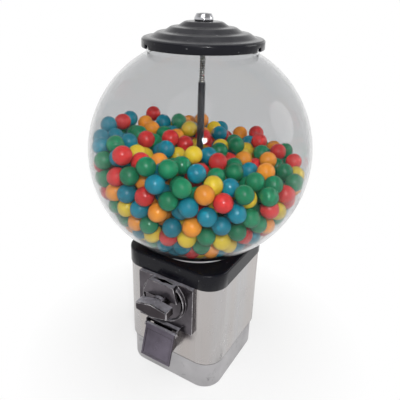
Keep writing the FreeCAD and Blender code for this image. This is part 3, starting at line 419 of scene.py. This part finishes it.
def clear_globe():
    """Clear wall with a grey tint, painted shade for the dim room seen through it, and fine crossed
    scratches; lamps shine through it.
    """
    m = Nodes("clear_globe")
    m.set(Transmission_Weight=1.0, IOR=GLOBE_IOR, Base_Color=GLOBE_SHADE_TINT)
    one_way = m.stretched(1.0, 9.0, 0.6)
    other_way = m.stretched(8.0, 0.8, 1.4)
    first = m.noise(scale=90.0, detail=2.0, rough=0.5, vector=one_way)
    second = m.noise(scale=80.0, detail=2.0, rough=0.5, vector=other_way)
    scratches = m.math(
        "MAXIMUM",
        m.span(first, (0.0, 1.0), over=SCRATCH_LEVELS),
        m.span(second, (0.0, 1.0), over=SCRATCH_LEVELS),
    )
    m.roughness(m.span(scratches, (0.0, 0.12), over=(0.0, 1.0)))
    m.bump(scratches, strength=0.15, distance=0.0003)
    clear = m.add("ShaderNodeBsdfTransparent")
    clear.inputs["Color"].default_value = GLOBE_PASSES
    lamp_light = m.add("ShaderNodeLightPath").outputs["Is Shadow Ray"]
    m.mix_shader(lamp_light, m.shader.outputs["BSDF"], clear.outputs["BSDF"])
    return m.material


def gum(name, colour):
    """Hard sugar shell: each ball a little lighter or darker, with a fine mottle and pores."""
    m = Nodes(name)
    ball = m.add("ShaderNodeNewGeometry").outputs["Random Per Island"]
    tone = m.mix(ball, shade(colour, 0.82), shade(colour, 1.15))
    mottle = m.span(m.noise(scale=120.0, rough=0.6), (0.0, 0.4), over=(0.5, 0.75))
    m.colour(m.mix(mottle, tone, shade(colour, 0.72)))
    m.roughness(m.span(m.noise(scale=200.0), (0.2, 0.26)))
    m.set(IOR=1.5, Specular_IOR_Level=0.45)
    m.bump(m.noise(scale=260.0, detail=3.0), strength=0.04, distance=0.0005)
    return m.material


def plain_worn(name, colour, metal, rough, grain):
    """Inner pieces: one tone with a mottle, uneven gloss and a fine surface."""
    m = Nodes(name)
    mottle = m.noise(scale=45.0, detail=5.0)
    m.colour(m.ramp(mottle, (0.3, shade(colour, 0.75)), (0.7, shade(colour, 1.12))))
    m.roughness(m.span(m.noise(scale=70.0), (rough * 0.75, rough * 1.3)))
    m.set(Metallic=metal)
    m.bump(m.noise(scale=grain, detail=3.0), strength=0.15, distance=0.0004)
    return m.material


def make_materials():
    """Every finish by its name."""
    made = {
        "cast_aluminium": cast_aluminium(),
        "body_steel": body_steel(),
        "worn_edge_and_highlight": worn_edge_and_highlight(),
        "bright_chrome": bright_chrome(),
        "threaded_steel": threaded_steel(),
        "clear_globe": clear_globe(),
    }
    for name, dust_and_top_light_share in BLACK_DUST_AND_TOP_LIGHT.items():
        made[name] = black_moulding(name, dust_and_top_light_share)
    for name, tone in CHROME_TONES.items():
        made[name] = dark_chrome(name, tone)
    for name, values in PLAIN_FINISHES.items():
        made[name] = plain_worn(name, *values)
    for name, colour in GUM_COLOURS.items():
        made[name] = gum(name, colour)
    return made


def dress_nodes(materials):
    """Gives every solid its finish."""
    for name, node in NODES.items():
        node.data.materials.clear()
        node.data.materials.append(materials[OWN_FINISH.get(name, SLOT_OF[name])])


def soften_edges(name, width, edge):
    """Rounds a rigid solid's sharp edges by a small bevel, which may have a finish of its own."""
    node = NODES[name]
    weld = node.modifiers.new("weld", "WELD")
    weld.merge_threshold = WELD_GAP
    if name not in KEEPS_FACETS:
        flats = node.modifiers.new("flats", "DECIMATE")
        flats.decimate_type = "DISSOLVE"
        flats.angle_limit = math.radians(FLAT_DEGREES)
    bevel = node.modifiers.new("round", "BEVEL")
    bevel.width = width
    bevel.segments = SOFT_EDGE_STEPS
    bevel.limit_method = "ANGLE"
    bevel.angle_limit = math.radians(SOFT_EDGE_DEGREES)
    bevel.harden_normals = True
    bevel.use_clamp_overlap = False
    if edge:
        node.data.materials.append(edge)
        bevel.material = 1


def island_centres(mesh):
    """Middle and radius of each ball in a group of balls."""
    owner = list(range(len(mesh.vertices)))

    def root(index):
        while owner[index] != index:
            owner[index] = owner[owner[index]]
            index = owner[index]
        return index

    for edge in mesh.edges:
        first, second = root(edge.vertices[0]), root(edge.vertices[1])
        if first != second:
            owner[second] = first
    low, high = {}, {}
    for index, vertex in enumerate(mesh.vertices):
        top = root(index)
        place = vertex.co
        if top not in low:
            low[top] = place.copy()
            high[top] = place.copy()
            continue
        for axis in range(3):
            low[top][axis] = min(low[top][axis], place[axis])
            high[top][axis] = max(high[top][axis], place[axis])
    whole = {}
    for top in low:
        middle = (low[top] + high[top]) / 2
        key = tuple(round(part, BALL_PLACE_DIGITS) for part in middle)
        whole[key] = (middle, (high[top] - low[top]).z / 2)
    return [whole[key] for key in sorted(whole)]


def draw_flats(draw):
    """Soft flats of one ball, each a direction and a depth."""
    flats = []
    for _ in range(BALL_DIMPLES):
        flat = Vector((draw.gauss(0, 1), draw.gauss(0, 1), draw.gauss(0, 1))).normalized()
        flats.append((flat, draw.uniform(BALL_FLAT_LEAST, 1.0) * BALL_FLAT))
    return flats


def candy_share(flats, way):
    """Share of the radius that is left in a direction."""
    share = 1.0
    for flat, depth in flats:
        near = max(0.0, way.dot(flat) - BALL_FLAT_EDGE) / (1.0 - BALL_FLAT_EDGE)
        share -= depth * near * near
    return share


def ball_ways():
    """Directions of a ball's points: ring by ring, then both poles."""
    for ring in range(1, BALL_RINGS):
        polar = math.pi * ring / BALL_RINGS
        out, up = math.sin(polar), math.cos(polar)
        for segment in range(BALL_SEGMENTS):
            angle = math.tau * segment / BALL_SEGMENTS
            yield Vector((out * math.cos(angle), out * math.sin(angle), up))
    yield Vector((0, 0, 1))
    yield Vector((0, 0, -1))


def ball_faces(start):
    """Faces of a ball whose points begin at this number."""
    last = start + (BALL_RINGS - 2) * BALL_SEGMENTS
    top = last + BALL_SEGMENTS
    bottom = top + 1
    round_ring = [(segment, (segment + 1) % BALL_SEGMENTS) for segment in range(BALL_SEGMENTS)]
    for upper in range(start, last, BALL_SEGMENTS):
        lower = upper + BALL_SEGMENTS
        for segment, after in round_ring:
            yield upper + segment, lower + segment, lower + after, upper + after
    for segment, after in round_ring:
        yield top, start + segment, start + after
        yield bottom, last + after, last + segment


def candy_mesh(name, balls, draw):
    """One mesh of uneven sugar-coated balls, each with its own soft flats and turn."""
    points, faces = [], []
    for middle, radius in balls:
        flats = draw_flats(draw)
        turn = Matrix.Rotation(draw.uniform(0, math.tau), 3, flats[0][0])
        faces.extend(ball_faces(len(points)))
        for way in ball_ways():
            way = turn @ way
            points.append(middle + way * radius * candy_share(flats, way))
    mesh = bpy.data.meshes.new(name)
    mesh.from_pydata(points, [], faces)
    mesh.shade_smooth()
    return mesh


def make_gumballs(materials):
    """Uneven candy balls in place of the plain ones."""
    draw = random.Random(BALL_SEED)
    for node in sorted(NODES):
        if not node.startswith(BALL_NODES):
            continue
        name = node.replace(BALL_NODES, BALL_PIECES)
        mesh = candy_mesh(name, island_centres(NODES[node].data), draw)
        mesh.materials.append(materials[SLOT_OF[node]])
        piece = link_new(name, mesh)
        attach(piece, "root")
        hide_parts(node)


def make_camera():
    """The photograph's point of view."""
    camera = bpy.data.cameras.new("camera")
    camera.lens = CAMERA_LENS_MM
    camera.sensor_width = CAMERA_SENSOR_MM
    camera.shift_x, camera.shift_y = CAMERA_SHIFT
    camera.clip_start = CAMERA_NEAR
    piece = link_new("camera", camera)
    ahead = Vector(CAMERA_AHEAD).normalized()
    side = ahead.cross(Vector(CAMERA_UP)).normalized()
    up = side.cross(ahead)
    turn = Matrix((side, up, -ahead)).transposed().to_4x4()
    piece.matrix_world = Matrix.Translation(CAMERA_PLACE) @ turn
    bpy.context.scene.camera = piece


def seen_ray(tree):
    """1 where the camera, a reflection or a view through glass looks, else 0."""
    path = tree.nodes.new("ShaderNodeLightPath")
    seen = path.outputs["Is Camera Ray"]
    for other in ("Is Glossy Ray", "Is Transmission Ray"):
        either = tree.nodes.new("ShaderNodeMath")
        either.operation = "MAXIMUM"
        tree.links.new(seen, either.inputs[0])
        tree.links.new(path.outputs[other], either.inputs[1])
        seen = either.outputs[0]
    return seen


def make_floor():
    """Wide pale floor that keeps the object's shadow and runs out to plain white."""
    mesh = bpy.data.meshes.new("floor")
    half = FLOOR_HALF
    corners = [(-half, -half, 0), (half, -half, 0), (half, half, 0), (-half, half, 0)]
    mesh.from_pydata(corners, [], [(0, 1, 2, 3)])
    m = Nodes("floor")
    m.colour(m.ramp(m.noise(scale=3.0, detail=2.0), (0.3, FLOOR_DARK), (0.7, FLOOR_PALE)))
    m.set(Roughness=0.9, Specular_IOR_Level=0.0)
    away = m.add("ShaderNodeVectorMath", operation="LENGTH")
    m.join(m.place, away.inputs[0])
    whiten = m.span(away.outputs["Value"], (FLOOR_WHITE_NEAR, 1.0), over=FLOOR_WHITE_FROM_TO)
    white = m.add("ShaderNodeEmission")
    shown = m.math("MULTIPLY", whiten, seen_ray(m.tree))
    m.mix_shader(shown, m.shader.outputs["BSDF"], white.outputs["Emission"])
    mesh.materials.append(m.material)
    floor = link_new("floor", mesh)


def make_world():
    """Soft even light; white round the horizon and a greyer ceiling for the eye and reflections."""
    world = bpy.data.worlds.new("studio")
    bpy.context.scene.world = world
    world.use_nodes = True
    tree = world.node_tree
    soft = tree.nodes["Background"]
    soft.inputs["Color"].default_value = WHITE
    soft.inputs["Strength"].default_value = WORLD_LIGHT
    split = tree.nodes.new("ShaderNodeSeparateXYZ")
    tree.links.new(tree.nodes.new("ShaderNodeTexCoord").outputs["Generated"], split.inputs[0])
    fall = tree.nodes.new("ShaderNodeMapRange")
    fall.inputs["From Min"].default_value = CEILING_FROM_TO[0]
    fall.inputs["From Max"].default_value = CEILING_FROM_TO[1]
    fall.inputs["To Min"].default_value = 1.0
    fall.inputs["To Max"].default_value = CEILING_GREY
    tree.links.new(split.outputs["Z"], fall.inputs["Value"])
    white = tree.nodes.new("ShaderNodeBackground")
    white.inputs["Color"].default_value = WHITE
    tree.links.new(fall.outputs["Result"], white.inputs["Strength"])
    both = tree.nodes.new("ShaderNodeMixShader")
    tree.links.new(seen_ray(tree), both.inputs[0])
    tree.links.new(soft.outputs[0], both.inputs[1])
    tree.links.new(white.outputs[0], both.inputs[2])
    tree.links.new(both.outputs[0], tree.nodes["World Output"].inputs["Surface"])


def make_lamp(name, place, target, size, power):
    """Round lamp that faces its target."""
    lamp = bpy.data.lights.new(name, "AREA")
    lamp.shape = "DISK"
    lamp.size = size
    lamp.energy = power
    piece = link_new(name, lamp)
    ahead = (Vector(target) - Vector(place)).normalized()
    turn = ahead.to_track_quat("-Z", "Y").to_matrix().to_4x4()
    piece.matrix_world = Matrix.Translation(place) @ turn


MATERIALS = make_materials()
dress_nodes(MATERIALS)
for softened, width, edge in SOFT_EDGES:
    soften_edges(softened, width, MATERIALS.get(edge))
make_gumballs(MATERIALS)
make_camera()
make_floor()
make_world()
for lamp in LAMPS:
    make_lamp(*lamp)
bpy.context.scene.view_settings.view_transform = "Standard"
